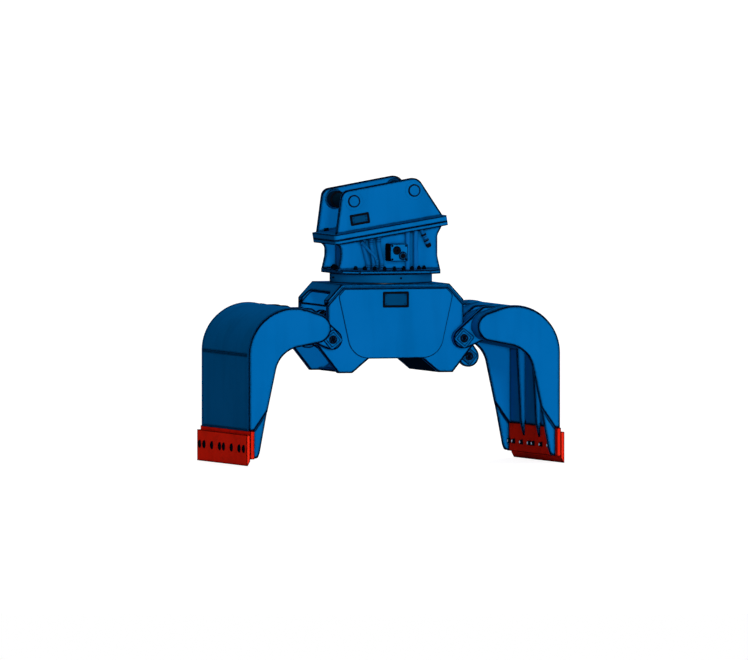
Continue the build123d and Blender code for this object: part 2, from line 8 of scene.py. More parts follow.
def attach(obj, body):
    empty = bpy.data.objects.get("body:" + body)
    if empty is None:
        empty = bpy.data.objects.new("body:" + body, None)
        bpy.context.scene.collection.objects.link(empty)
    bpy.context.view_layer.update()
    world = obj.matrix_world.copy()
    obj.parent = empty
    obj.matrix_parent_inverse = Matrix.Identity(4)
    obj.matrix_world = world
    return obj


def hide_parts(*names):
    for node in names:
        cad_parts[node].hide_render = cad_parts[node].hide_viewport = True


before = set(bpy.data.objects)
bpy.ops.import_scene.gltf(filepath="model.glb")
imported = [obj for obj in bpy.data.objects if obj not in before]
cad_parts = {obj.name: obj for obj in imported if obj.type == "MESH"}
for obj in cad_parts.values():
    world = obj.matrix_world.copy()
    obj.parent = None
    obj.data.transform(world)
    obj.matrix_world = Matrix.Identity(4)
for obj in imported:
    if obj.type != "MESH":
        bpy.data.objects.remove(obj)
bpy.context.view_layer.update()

# Studio: a pale floor that runs out of sight under a white sky. The key lamp stands close to the
# camera and half of it casts no shadow, so what faces front is bright and what faces left is dark.
# Three weak lamps light the left, the right and the rear.
floor_half = 120.0
floor_grey = 0.45
floor_glow = 0.86
sky_level = 0.080
lamps = (("key", (-0.105, -0.979, 0.173), 0.70, 6, (1.0, 1.0, 1.0), True),
         ("key_soft", (-0.105, -0.979, 0.173), 2.05, 6, (1.0, 1.0, 1.0), False),
         ("left_fill", (-0.97, -0.10, 0.20), 0.37, 30, (1.0, 0.20, 0.10), True),
         ("right_fill", (0.95, 0.10, 0.25), 1.3, 30, (1.0, 1.0, 1.0), True),
         ("rear_fill", (0.25, 0.85, 0.45), 1.5, 30, (1.0, 1.0, 1.0), True))
camera_aim = Vector((-0.0456, 0.0135, 0.921))
camera_azimuth = math.radians(-16.5)
camera_elevation = math.radians(2.03)
camera_distance = 30.0
photo_width = 5.236


def white_to_camera(tree):
    """One for camera, glossy and transmission rays, nought for the rays that light the object."""
    rays = tree.nodes.new("ShaderNodeLightPath")
    seen = rays.outputs["Is Camera Ray"]
    for kind in ("Is Glossy Ray", "Is Transmission Ray"):
        either = tree.nodes.new("ShaderNodeMath")
        either.operation = "MAXIMUM"
        tree.links.new(seen, either.inputs[0])
        tree.links.new(rays.outputs[kind], either.inputs[1])
        seen = either.outputs[0]
    return seen


world = bpy.data.worlds.new("studio_sky")
bpy.context.scene.world = world
world.use_nodes = True
tree = world.node_tree
tree.nodes.clear()
sky_out = tree.nodes.new("ShaderNodeOutputWorld")
sky_mix = tree.nodes.new("ShaderNodeMixShader")
sky_light = tree.nodes.new("ShaderNodeBackground")
sky_white = tree.nodes.new("ShaderNodeBackground")
sky_light.inputs["Color"].default_value = (0.92, 0.96, 1.0, 1.0)
sky_light.inputs["Strength"].default_value = sky_level
sky_white.inputs["Color"].default_value = (1.0, 1.0, 1.0, 1.0)
sky_white.inputs["Strength"].default_value = 1.0
tree.links.new(white_to_camera(tree), sky_mix.inputs[0])
tree.links.new(sky_light.outputs[0], sky_mix.inputs[1])
tree.links.new(sky_white.outputs[0], sky_mix.inputs[2])
tree.links.new(sky_mix.outputs[0], sky_out.inputs["Surface"])

floor_mesh = bpy.data.meshes.new("floor")
floor_mesh.from_pydata([(-floor_half, -floor_half, 0), (floor_half, -floor_half, 0),
                        (floor_half, floor_half, 0), (-floor_half, floor_half, 0)], [], [(0, 1, 2, 3)])
floor = bpy.data.objects.new("floor", floor_mesh)
bpy.context.scene.collection.objects.link(floor)
floor_finish = bpy.data.materials.new("pale_floor")
floor_finish.use_nodes = True
tree = floor_finish.node_tree
tree.nodes.clear()
floor_out = tree.nodes.new("ShaderNodeOutputMaterial")
floor_sum = tree.nodes.new("ShaderNodeAddShader")
floor_matt = tree.nodes.new("ShaderNodeBsdfDiffuse")
floor_matt.inputs["Color"].default_value = (floor_grey, floor_grey, floor_grey, 1.0)
floor_emit = tree.nodes.new("ShaderNodeEmission")
floor_level = tree.nodes.new("ShaderNodeMath")
floor_level.operation = "MULTIPLY"
floor_level.inputs[1].default_value = floor_glow
tree.links.new(white_to_camera(tree), floor_level.inputs[0])
tree.links.new(floor_level.outputs[0], floor_emit.inputs["Strength"])
tree.links.new(floor_matt.outputs[0], floor_sum.inputs[0])
tree.links.new(floor_emit.outputs[0], floor_sum.inputs[1])
tree.links.new(floor_sum.outputs[0], floor_out.inputs["Surface"])
floor_mesh.materials.append(floor_finish)

for lamp_name, lamp_from, lamp_power, lamp_spread, lamp_colour, lamp_shadow in lamps:
    light = bpy.data.lights.new(lamp_name, "SUN")
    light.energy = lamp_power
    light.angle = math.radians(lamp_spread)
    light.color = lamp_colour
    light.use_shadow = lamp_shadow
    lamp = bpy.data.objects.new(lamp_name, light)
    lamp.rotation_mode = "QUATERNION"
    lamp.rotation_quaternion = Vector(lamp_from).to_track_quat("Z", "Y")
    bpy.context.scene.collection.objects.link(lamp)

lens = bpy.data.cameras.new("photo_camera")
lens.type = "ORTHO"
lens.ortho_scale = photo_width
lens.clip_end = 200.0
camera = bpy.data.objects.new("photo_camera", lens)
back = Vector((math.sin(camera_azimuth) * math.cos(camera_elevation),
               -math.cos(camera_azimuth) * math.cos(camera_elevation),
               math.sin(camera_elevation)))
camera.location = camera_aim + back * camera_distance
camera.rotation_mode = "QUATERNION"
camera.rotation_quaternion = back.to_track_quat("Z", "Y")
bpy.context.scene.collection.objects.link(camera)
bpy.context.scene.camera = camera
bpy.context.scene.view_settings.view_transform = "Standard"

# Housing: two flame-cut side plates with a folded top plate, a belly plate and end bars welded
# between them, and a thin cover on each side. Sprayed blue; the paint is dark along every edge.
blue = (0.0, 0.128, 0.402)
# Painted shade for the belly plate's down-facing faces.
belly_painted_shade = (0.0, 0.010, 0.028)
# Black paint, also used as painted shade on the valve block's left side.
black_paint_and_shade = (0.003, 0.004, 0.007)
edge_black = (0.0004, 0.0012, 0.006)
edge_width = 0.033
edge_fade = (0.960, 0.995)
edge_scatter = (-0.006, 0.010)
corner_reach = 0.045
corner_fade = (0.25, 0.70)
weld_blue = (0.0, 0.060, 0.190)
plate_blue = (0.0, 0.050, 0.150)
weld_pitch = 0.007
crease_angle = math.radians(28)
side_face_y = 0.365
inner_face_y = 0.320
cover_face_y = 0.371
skin_line = ((-0.495, 1.1124), (-0.3833, 1.234), (0.3833, 1.234), (0.495, 1.1124))
belly_line = ((-0.36, 0.634), (-0.316, 0.634), (-0.195, 0.734),
              (0.195, 0.734), (0.316, 0.634), (0.36, 0.634))
belly_skin = 0.015
top_bead = 0.0045
belly_bead = 0.007
housing_plate_z = 1.147
housing_plate_size = (0.190, 0.112)


def enamel(name, colour, roughness=0.45, gloss=0.0, edge=edge_black, edge_size=edge_width, corner_shade_amount=0.85,
           tint=0.12, bare=None, painted_shade=None, painted_shade_axis="Z"):
    """Enamel with dark edges, painted shade in corners, faint clouds and runs, scratches and orange peel.

    A bare colour shows where the paint has worn off. A painted shade colour, when given, covers the
    faces that look backwards along its axis.
    """
    finish = bpy.data.materials.new(name)
    finish.use_nodes = True
    tree = finish.node_tree
    shader = tree.nodes["Principled BSDF"]
    shader.inputs["Specular IOR Level"].default_value = gloss
    place = tree.nodes.new("ShaderNodeTexCoord")

    def noise(scale, detail, stretch=(1.0, 1.0, 1.0)):
        squeeze = tree.nodes.new("ShaderNodeMapping")
        squeeze.inputs["Scale"].default_value = stretch
        tree.links.new(place.outputs["Object"], squeeze.inputs["Vector"])
        grain = tree.nodes.new("ShaderNodeTexNoise")
        grain.inputs["Scale"].default_value = scale
        grain.inputs["Detail"].default_value = detail
        tree.links.new(squeeze.outputs[0], grain.inputs["Vector"])
        return grain.outputs["Fac"]

    def ramp(value, low, high, start=0.0, end=1.0):
        step = tree.nodes.new("ShaderNodeMapRange")
        step.inputs["From Min"].default_value = low
        step.inputs["From Max"].default_value = high
        step.inputs["To Min"].default_value = start
        step.inputs["To Max"].default_value = end
        tree.links.new(value, step.inputs["Value"])
        return step.outputs["Result"]

    def mix(amount, first, second):
        blend = tree.nodes.new("ShaderNodeMix")
        blend.data_type = "RGBA"
        tree.links.new(amount, blend.inputs["Factor"])
        for socket, value in (("A", first), ("B", second)):
            if isinstance(value, tuple):
                blend.inputs[socket].default_value = (*value, 1.0)
            else:
                tree.links.new(value, blend.inputs[socket])
        return blend.outputs["Result"]

    rounding = tree.nodes.new("ShaderNodeBevel")
    rounding.samples = 8
    rounding.inputs["Radius"].default_value = edge_size
    shape = tree.nodes.new("ShaderNodeNewGeometry")
    turn = tree.nodes.new("ShaderNodeVectorMath")
    turn.operation = "DOT_PRODUCT"
    tree.links.new(rounding.outputs["Normal"], turn.inputs[0])
    tree.links.new(shape.outputs["Normal"], turn.inputs[1])
    ragged = ramp(noise(45.0, 3.0), 0.3, 0.7, *edge_scatter)
    shifted = tree.nodes.new("ShaderNodeMath")
    shifted.operation = "ADD"
    tree.links.new(turn.outputs["Value"], shifted.inputs[0])
    tree.links.new(ragged, shifted.inputs[1])
    edge_mask = ramp(shifted.outputs[0], *edge_fade, 1.0, 0.0)

    # Painted shade: an occlusion test darkens the colour in corners and between parts.
    corner = tree.nodes.new("ShaderNodeAmbientOcclusion")
    corner.samples = 8
    corner.inputs["Distance"].default_value = corner_reach
    corner_shade_mask = ramp(corner.outputs["AO"], *corner_fade, corner_shade_amount, 0.0)

    lighter = tuple(min(1.0, c * 1.22 + 0.004) for c in colour)
    darker = tuple(c * 0.72 for c in colour)
    corner_shade_colour = tuple(c * 0.10 for c in colour)
    clouds = ramp(noise(2.3, 4.0), 0.40, 0.72, 0.0, tint * 2.5)
    base = mix(clouds, colour, lighter)
    runs = ramp(noise(7.0, 3.0, (1.0, 1.0, 0.15)), 0.48, 0.78, 0.0, tint * 4.0)
    base = mix(runs, base, darker)
    scratches = ramp(noise(90.0, 2.0, (1.0, 1.0, 0.05)), 0.70, 0.76, 0.0, tint * 1.6)
    base = mix(scratches, base, darker)
    if bare:
        worn = ramp(noise(14.0, 5.0, (0.6, 0.6, 1.0)), 0.56, 0.62, 0.0, 0.55)
        base = mix(worn, base, bare)
    # Painted shade: faces that look backwards along the given axis take the shade colour.
    if painted_shade:
        facing = tree.nodes.new("ShaderNodeSeparateXYZ")
        tree.links.new(place.outputs["Normal"], facing.inputs[0])
        painted_shade_mask = ramp(facing.outputs[painted_shade_axis], -0.30, -0.10, 1.0, 0.0)
        base = mix(painted_shade_mask, base, painted_shade)
    base = mix(corner_shade_mask, base, corner_shade_colour)
    base = mix(edge_mask, base, edge)
    tree.links.new(base, shader.inputs["Base Color"])

    sheen = ramp(noise(6.0, 3.0), 0.3, 0.7, roughness - 0.06, roughness + 0.10)
    tree.links.new(sheen, shader.inputs["Roughness"])
    peel = tree.nodes.new("ShaderNodeBump")
    peel.inputs["Strength"].default_value = 0.06
    peel.inputs["Distance"].default_value = 0.002
    tree.links.new(noise(240.0, 1.0), peel.inputs["Height"])
    tree.links.new(peel.outputs["Normal"], shader.inputs["Normal"])
    return finish


def dress(finish, *names):
    """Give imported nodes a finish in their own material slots."""
    for name in names:
        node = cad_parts[name]
        if not node.material_slots:
            node.data.materials.append(finish)
        for holder in node.material_slots:
            holder.link = "OBJECT"
            holder.material = finish


def finished(name, mesh, finish, body):
    """Turn a bmesh into a named piece with smooth faces and sharp edges, riding on a body."""
    bmesh.ops.recalc_face_normals(mesh, faces=mesh.faces)
    mesh.normal_update()
    for edge in mesh.edges:
        edge.smooth = edge.is_manifold and edge.calc_face_angle(0.0) < crease_angle
    for face in mesh.faces:
        face.smooth = True
    data = bpy.data.meshes.new(name)
    mesh.to_mesh(data)
    mesh.free()
    data.materials.append(finish)
    piece = bpy.data.objects.new(name, data)
    bpy.context.scene.collection.objects.link(piece)
    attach(piece, body)
    return piece


def spaced(corners, step):
    """Points every step or so along a line of corners, with each point's distance from the start."""
    points = []
    travelled = 0.0
    for start, end in zip(corners, corners[1:]):
        start, end = Vector(start), Vector(end)
        length = (end - start).length
        count = max(1, round(length / step))
        for index in range(count):
            points.append((start.lerp(end, index / count), travelled + length * index / count))
        travelled += length
    points.append((Vector(corners[-1]), travelled))
    return points


def swept(mesh, points, radius_at, sides):
    """Closed tube along points, with a radius given by the place in the list."""
    rings = []
    for index, point in enumerate(points):
        along = (points[min(index + 1, len(points) - 1)] - points[max(index - 1, 0)]).normalized()
        reference = Vector((0, 1, 0)) if abs(along.y) < 0.8 else Vector((0, 0, 1))
        across = along.cross(reference).normalized()
        other = along.cross(across)
        radius = radius_at(index)
        rings.append([mesh.verts.new(point + (across * math.cos(2 * math.pi * n / sides)
                                              + other * math.sin(2 * math.pi * n / sides)) * radius)
                      for n in range(sides)])
    for low, high in zip(rings, rings[1:]):
        for n in range(sides):
            mesh.faces.new((low[n], low[(n + 1) % sides], high[(n + 1) % sides], high[n]))
    mesh.faces.new(list(reversed(rings[0])))
    mesh.faces.new(rings[-1])


def weld(mesh, corners, leg):
    """Bead of weld metal along a seam, rippled as each puddle sets and thin at both ends."""
    points = spaced(corners, weld_pitch / 2)
    last = points[-1][1]

    def swell(index):
        distance = points[index][1]
        ripple = 1.0 + 0.14 * (index % 2)
        taper = min(1.0, 0.35 + min(distance, last - distance) / (2 * leg))
        return leg * ripple * taper

    swept(mesh, [point for point, _ in points], swell, 6)


def pointing(place, direction):
    """Matrix that stands a turned piece at a place with its axis along a direction."""
    lean = Vector(direction).to_track_quat("Z", "Y").to_matrix().to_4x4()
    return Matrix.Translation(Vector(place)) @ lean


def turned(mesh, stand, profile, sides=20):
    """Piece turned round its axis from (radius, height) steps; six sides make a hexagon."""
    rings = []
    for radius, height in profile:
        if radius == 0:
            rings.append([mesh.verts.new(stand @ Vector((0, 0, height)))])
        else:
            rings.append([mesh.verts.new(stand @ Vector((radius * math.cos(2 * math.pi * n / sides),
                                                         radius * math.sin(2 * math.pi * n / sides), height)))
                          for n in range(sides)])
    for low, high in zip(rings, rings[1:]):
        for n in range(sides):
            corners = dict.fromkeys((low[n % len(low)], low[(n + 1) % len(low)],
                                     high[(n + 1) % len(high)], high[n % len(high)]))
            if len(corners) > 2:
                mesh.faces.new(list(corners))


def blank_plate(name, stand, width, height, body):
    """Bare data plate held by four rivets inside a raised black rim."""
    rim = 0.015
    round_by = 0.009
    rivet_inset = 0.026
    rim_steps = ((rim, 0), (0, 0), (0, 0.003), (rim - 0.001, 0.003), (rim, 0.0022))
    field_steps = ((rim + 0.0003, 0), (rim + 0.0003, 0.0015))
    rivet_steps = ((0, 0.001), (0.0045, 0.001), (0.0045, 0.0028), (0.0025, 0.0042), (0, 0.0046))
    outline = []
    for corner in range(4):
        centre_x = (width / 2 - round_by) * (1 if corner in (0, 3) else -1)
        centre_y = (height / 2 - round_by) * (1 if corner in (0, 1) else -1)
        for part in range(5):
            angle = math.pi / 2 * (corner + part / 4)
            outline.append((centre_x + round_by * math.cos(angle), centre_y + round_by * math.sin(angle)))

    def band(mesh, low, high):
        """Faces all round between two rings."""
        for n in range(len(outline)):
            following = (n + 1) % len(outline)
            mesh.faces.new((low[n], low[following], high[following], high[n]))

    def stacked(mesh, steps):
        """A ring of the outline for each (inset, level) step, with a band from each to the next."""
        rings = []
        for inset, level in steps:
            scale_x = 1 - 2 * inset / width
            scale_y = 1 - 2 * inset / height
            rings.append([mesh.verts.new(stand @ Vector((x * scale_x, y * scale_y, level)))
                          for x, y in outline])
        for low, high in zip(rings, rings[1:]):
            band(mesh, low, high)
        return rings

    mesh = bmesh.new()
    rings = stacked(mesh, rim_steps)
    band(mesh, rings[-1], rings[0])
    finished(name + "_rim", mesh, dark_enamel, body)
    mesh = bmesh.new()
    rings = stacked(mesh, field_steps)
    mesh.faces.new(rings[-1])
    mesh.faces.new(list(reversed(rings[0])))
    for side_x in (-1, 1):
        for side_y in (-1, 1):
            spot = Vector((side_x * (width / 2 - rivet_inset), side_y * (height / 2 - rivet_inset), 0))
            turned(mesh, stand @ Matrix.Translation(spot), rivet_steps, 10)
    finished(name, mesh, plate_finish, body)


blue_enamel = enamel("blue_enamel", blue)
dark_enamel = enamel("dark_enamel", black_paint_and_shade, edge_size=0.004)
weld_enamel = enamel("weld_enamel", weld_blue, roughness=0.5, edge=(0.0, 0.01, 0.04), edge_size=0.002)
plate_finish = enamel("plate_enamel", plate_blue, edge_size=0.004)
# The belly plate's down-facing faces get painted shade.
belly_enamel = enamel("belly_enamel", blue, painted_shade=belly_painted_shade)
cover_enamel = enamel("cover_enamel", blue, edge_size=0.013)
dress(blue_enamel, "housing_front_plate", "housing_rear_plate", "housing_top_plate", "housing_end_bars")
dress(cover_enamel, "front_cover", "rear_cover")
dress(belly_enamel, "housing_belly_plate")

mesh = bmesh.new()
for face in (-1, 1):
    weld(mesh, [(x, face * (side_face_y - 0.002), z) for x, z in skin_line], top_bead)
    weld(mesh, [(x, face * (inner_face_y - 0.001), z + belly_skin) for x, z in belly_line], belly_bead)
finished("housing_welds", mesh, weld_enamel, "housing")
stand = pointing((0.0, -cover_face_y, housing_plate_z), (0, -1, 0))
blank_plate("housing_blank_plate", stand, *housing_plate_size, "housing")

# Slewing ring: a ball race with teeth cut inside it, forged and machined all over. The pinion of an
# oil motor drives it, and the oil crosses from head to housing in a swivel on the axis.
gear_grey = (0.18, 0.18, 0.19)
ring_blue = (0.0, 0.072, 0.215)
ring_middle_z = 1.295
ring_face = 0.359
nipple_angles = (-83.3, -173, 97, 7)
nipple_size = 0.9


def bare_steel(name, colour, roughness, metallic=0.9, gloss=0.5):
    """Machined steel with a fine grain, painted shade in its corners and a satin shine."""
    finish = bpy.data.materials.new(name)
    finish.use_nodes = True
    tree = finish.node_tree
    shader = tree.nodes["Principled BSDF"]
    shader.inputs["Metallic"].default_value = metallic
    shader.inputs["Specular IOR Level"].default_value = gloss
    place = tree.nodes.new("ShaderNodeTexCoord")
    grain = tree.nodes.new("ShaderNodeTexNoise")
    grain.inputs["Scale"].default_value = 70.0
    grain.inputs["Detail"].default_value = 4.0
    tree.links.new(place.outputs["Object"], grain.inputs["Vector"])
    tone = tree.nodes.new("ShaderNodeMix")
    tone.data_type = "RGBA"
    tone.inputs["A"].default_value = (*colour, 1.0)
    tone.inputs["B"].default_value = (*[0.6 * c for c in colour], 1.0)
    tree.links.new(grain.outputs["Fac"], tone.inputs["Factor"])
    # Painted shade: an occlusion test darkens the colour in corners.
    corner = tree.nodes.new("ShaderNodeAmbientOcclusion")
    corner.samples = 8
    corner.inputs["Distance"].default_value = 0.02
    corner_shade_tone = tree.nodes.new("ShaderNodeMix")
    corner_shade_tone.data_type = "RGBA"
    corner_shade_tone.inputs["A"].default_value = (*[0.08 * c for c in colour], 1.0)
    tree.links.new(corner.outputs["AO"], corner_shade_tone.inputs["Factor"])
    tree.links.new(tone.outputs["Result"], corner_shade_tone.inputs["B"])
    tree.links.new(corner_shade_tone.outputs["Result"], shader.inputs["Base Color"])
    satin = tree.nodes.new("ShaderNodeMapRange")
    satin.inputs["To Min"].default_value = max(0.05, roughness - 0.08)
    satin.inputs["To Max"].default_value = roughness + 0.12
    tree.links.new(grain.outputs["Fac"], satin.inputs["Value"])
    tree.links.new(satin.outputs["Result"], shader.inputs["Roughness"])
    return finish


def nipple(mesh, place, direction):
    """Grease nipple: a small hexagon, a neck and a ball end."""
    stand = pointing(place, direction) @ Matrix.Scale(nipple_size, 4)
    turned(mesh, stand, ((0, 0), (0.009, 0), (0.009, 0.005), (0.0075, 0.0062), (0, 0.0062)), 6)
    turned(mesh, stand, ((0, 0.005), (0.0045, 0.005), (0.0036, 0.010), (0.0050, 0.0125), (0.0036, 0.0155),
                         (0.0014, 0.0162), (0, 0.0162)), 12)


gear_metal = bare_steel("gear_metal", gear_grey, 0.35)
ring_enamel = enamel("ring_enamel", ring_blue, edge_size=0.012)
dress(ring_enamel, "slew_ring")
dress(gear_metal, "ring_gear", "drive_pinion")
dress(dark_enamel, "rotation_motor", "swivel_body", "swivel_core")
mesh = bmesh.new()
for angle in nipple_angles:
    outward = Vector((math.cos(math.radians(angle)), math.sin(math.radians(angle)), 0))
    nipple(mesh, outward * (ring_face - 0.001) + Vector((0, 0, ring_middle_z)), outward)
finished("ring_nipples", mesh, dark_enamel, "head")

# Head: a flange bolted on the slewing ring by thirty studs, two waisted walls, two end plates and a
# tilted top plate, all welded. It is sprayed after welding; the nuts are left black.
flange_top_z = 1.351
stud_circle = 0.336
stud_count = 30
wall_face_y = 0.206
wall_inner_y = 0.186
end_face_x = 0.274
band_tilt = math.radians(9.2)
band_rise = math.tan(band_tilt)
band_z = 1.596
wall_foot_x = 0.372
wall_neck_x = 0.384
head_bead = 0.006
bolt_black = (0.001, 0.003, 0.007)
stud_washer = ((0, 0), (0.0150, 0), (0.0150, 0.0025), (0, 0.0025))
stud_nut = ((0, 0.002), (0.0150, 0.002), (0.0150, 0.0185), (0.0128, 0.0205), (0, 0.0205))
stud_end = ((0, 0.018), (0.0085, 0.018), (0.0085, 0.0262), (0.0068, 0.028), (0, 0.028))


def band_under(x):
    """Height of the tilted top plate's underside."""
    return band_z + band_rise * x


black_bolt = bare_steel("black_bolt", bolt_black, 0.55, metallic=0.0, gloss=0.0)
band_enamel = enamel("band_enamel", blue, edge_size=0.020)
dress(blue_enamel, "head_flange", "head_front_wall", "head_rear_wall", "head_end_plates")
dress(band_enamel, "head_top_plate")
mesh = bmesh.new()
for index in range(stud_count):
    angle = 2 * math.pi * (index + 0.5) / stud_count
    spot = Vector((stud_circle * math.cos(angle), stud_circle * math.sin(angle), flange_top_z))
    stand = Matrix.Translation(spot) @ Matrix.Rotation(angle, 4, "Z")
    turned(mesh, stand, stud_washer, 18)
    turned(mesh, stand, stud_nut, 6)
    turned(mesh, stand, stud_end, 12)
flange_nuts = finished("flange_nuts", mesh, black_bolt, "head")
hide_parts("flange_bolts")

mesh = bmesh.new()
for face in (-1, 1):
    outer = face * wall_face_y
    inner = face * wall_inner_y
    weld(mesh, [(-wall_foot_x, outer, flange_top_z), (wall_foot_x, outer, flange_top_z)], head_bead)
    weld(mesh, [(x, outer, band_under(x)) for x in (-wall_neck_x, wall_neck_x)], head_bead)
    for x in (-end_face_x, end_face_x):
        weld(mesh, [(x, inner, flange_top_z), (x, inner, band_under(x))], head_bead)
for x in (-end_face_x, end_face_x):
    weld(mesh, [(x, -wall_inner_y, flange_top_z), (x, wall_inner_y, flange_top_z)], head_bead)
    weld(mesh, [(x, -wall_inner_y, band_under(x)), (x, wall_inner_y, band_under(x))], head_bead)
finished("head_welds", mesh, weld_enamel, "head")

# Oil lines on the head: steel tubes with crimped ends run down beside the valve block, which is
# drilled from solid steel and held by four cap screws, with black painted shade on its left side.
# A capped coupling hangs on the right.
tubes = ((-0.193, -0.160), (-0.138, -0.117), (-0.084, -0.060))
tube_radius = 0.0165
tube_y = -0.2245
slant_radius = 0.0095
slant_route = ((-0.218, 1.548), (-0.200, 1.528), (-0.166, 1.494),
               (-0.118, 1.446), (-0.104, 1.415), (-0.1025, 1.385))
slant_y = -0.2515
valve_face_y = 0.331
valve_sides = (-0.028, 0.100)
valve_heights = (1.412, 1.535)
ports = ((0.020, 1.489, 1.0), (0.063, 1.451, 0.8))
port_collar = 0.0078
seat_steps = ((0.0060, -0.002), (0.0060, 0.0004), (0.0242, 0.0004), (0.0256, -0.0006),
              (0.0256, -0.002), (0.0060, -0.002))
cap_screw_inset = 0.014
cap_screw_steps = ((0, 0), (0.0075, 0), (0.0075, 0.0055), (0.0065, 0.0070), (0.0038, 0.0070),
                   (0.0038, 0.003), (0, 0.003))
coupling_y = -0.2255
coupling_top_x = 0.229
coupling_foot_x = 0.288
coupling_foot_z = 1.508
cap_steps = ((0, 0), (0.0185, 0), (0.0192, 0.006), (0.0185, 0.022), (0.0150, 0.028), (0, 0.029))
clip_shares = (0.30, 0.62)
clip_steps = ((0.0120, 0), (0.0185, 0), (0.0185, 0.012), (0.0120, 0.012), (0.0120, 0))
clip_foot_steps = ((0, 0), (0.006, 0), (0.006, 0.012), (0, 0.012))
tube_blue = (0.0, 0.100, 0.330)


def smooth_run(corners, steps=10):
    """Points on a smooth line through the corners."""
    corners = [Vector(corner) for corner in corners]
    points = []
    for index in range(len(corners) - 1):
        before = corners[max(index - 1, 0)]
        start, end = corners[index], corners[index + 1]
        after = corners[min(index + 2, len(corners) - 1)]
        for step in range(steps):
            t = step / steps
            points.append(0.5 * (2 * start + (end - before) * t
                                 + (2 * before - 5 * start + 4 * end - after) * t * t
                                 + (3 * start - before - 3 * end + after) * t * t * t))
    points.append(corners[-1])
    return points


def crimp(mesh, place, direction, radius):
    """Hexagon and crimped sleeve on a tube's end."""
    stand = pointing(place, direction)
    turned(mesh, stand, ((0, 0), (radius * 1.30, 0), (radius * 1.30, 0.012), (0, 0.012)), 6)
    turned(mesh, stand, ((0, 0.011), (radius * 1.14, 0.011), (radius * 1.14, 0.017), (radius * 1.05, 0.019),
                         (radius * 1.14, 0.021), (radius * 1.14, 0.027), (radius * 1.05, 0.029),
                         (radius * 1.14, 0.031), (radius * 1.08, 0.040), (0, 0.040)), 20)


tube_enamel = enamel("tube_enamel", tube_blue, roughness=0.4, gloss=0.008, edge_size=0.004, tint=0.2)
# Painted shade: the valve block's left-facing side is coloured black.
valve_enamel = enamel("valve_enamel", blue, edge_size=0.014, painted_shade=black_paint_and_shade, painted_shade_axis="X")
dress(valve_enamel, "valve_block")
dress(tube_enamel, "drain_pipes")

mesh = bmesh.new()
for top_x, foot_x in tubes:
    top_z = band_under(top_x) - 0.001
    run_z = top_z - flange_top_z
    route = [Vector((top_x, tube_y, top_z)), Vector((top_x, tube_y, top_z - 0.2 * run_z)),
             Vector(((top_x + foot_x) / 2, tube_y, top_z - 0.5 * run_z)),
             Vector((foot_x, tube_y, top_z - 0.8 * run_z)), Vector((foot_x, tube_y, flange_top_z))]
    swept(mesh, smooth_run(route), lambda index: tube_radius, 20)
    crimp(mesh, route[0], (0, 0, -1), tube_radius)
    crimp(mesh, route[-1], (0, 0, 1), tube_radius)
finished("supply_tubes", mesh, tube_enamel, "head")

slant = smooth_run([(x, slant_y, z) for x, z in slant_route])
mesh = bmesh.new()
swept(mesh, slant, lambda index: slant_radius, 16)
crimp(mesh, slant[0], slant[1] - slant[0], slant_radius)
crimp(mesh, slant[-1], (0, 0, 1), slant_radius)
finished("slanting_tube", mesh, tube_enamel, "head")

coupling_top = Vector((coupling_top_x, coupling_y, band_under(coupling_top_x) - 0.004))
coupling_end = Vector((coupling_foot_x, coupling_y, coupling_foot_z))
coupling_line = (coupling_end - coupling_top).normalized()
coupling_length = (coupling_end - coupling_top).length
mesh = bmesh.new()
turned(mesh, pointing(coupling_top, coupling_line),
       ((0, 0), (0.0125, 0), (0.0125, 0.034), (0.0160, 0.036), (0.0160, 0.056), (0.0135, 0.058),
        (0.0135, 0.072), (0.0165, 0.074), (0.0165, coupling_length * 0.80), (0, coupling_length * 0.80)), 20)
finished("spare_coupling", mesh, tube_enamel, "head")
mesh = bmesh.new()
turned(mesh, pointing(coupling_top + coupling_line * coupling_length * 0.79, coupling_line), cap_steps, 20)
for share in clip_shares:
    centre = coupling_top + coupling_line * coupling_length * share
    turned(mesh, pointing(centre - coupling_line * 0.006, coupling_line), clip_steps, 20)
    turned(mesh, pointing((centre.x, -wall_face_y, centre.z), (0, -1, 0)), clip_foot_steps, 12)
finished("coupling_cap_and_clips", mesh, dark_enamel, "head")

mesh = bmesh.new()
for x, z, size in ports:
    stand = pointing((x, -valve_face_y - port_collar, z), (0, -1, 0))
    turned(mesh, stand @ Matrix.Diagonal((size, size, 1.0, 1.0)), seat_steps, 32)
finished("port_seats", mesh, dark_enamel, "head")
mesh = bmesh.new()
for x in (valve_sides[0] + cap_screw_inset, valve_sides[1] - cap_screw_inset):
    for z in (valve_heights[0] + cap_screw_inset, valve_heights[1] - cap_screw_inset):
        turned(mesh, pointing((x, -valve_face_y, z), (0, -1, 0)), cap_screw_steps, 14)
finished("valve_screws", mesh, black_bolt, "head")

# Bracket: a base plate bolted on the tilted top plate, with two cheeks and their bosses welded on.
# The two ground pins carry the machine's stick and link. Their ends are painted over, each in a
# collar with a black seal; between the cheeks the pins and bosses are dark with grease and painted shade.
base_top = 0.0699
cheek_face_y = 0.253
cheek_inner_y = 0.223
cheek_foot = (-0.397, 0.376)
cheek_bead = 0.0085
boss_bead = 0.005
bracket_screws = [(x, y) for x in (-0.330, -0.110, 0.110, 0.300) for y in (-0.200, 0.200)]
screw_washer = ((0, 0), (0.0180, 0), (0.0180, 0.003), (0, 0.003))
screw_hexagon = ((0, 0.002), (0.0175, 0.002), (0.0175, 0.017), (0.0155, 0.0195), (0, 0.0195))
pin_places = ((-0.271, 1.834), (0.169, 1.9053))
pin_radius = 0.044
boss_radius = 0.059
collar_radius = 0.066
washer_y = 0.1328
pin_end_y = 0.261
collar_steps = ((pin_radius + 0.0003, 0), (collar_radius, 0), (collar_radius, 0.0015),
                (collar_radius - 0.001, 0.0022), (pin_radius + 0.0003, 0.0022), (pin_radius + 0.0003, 0))
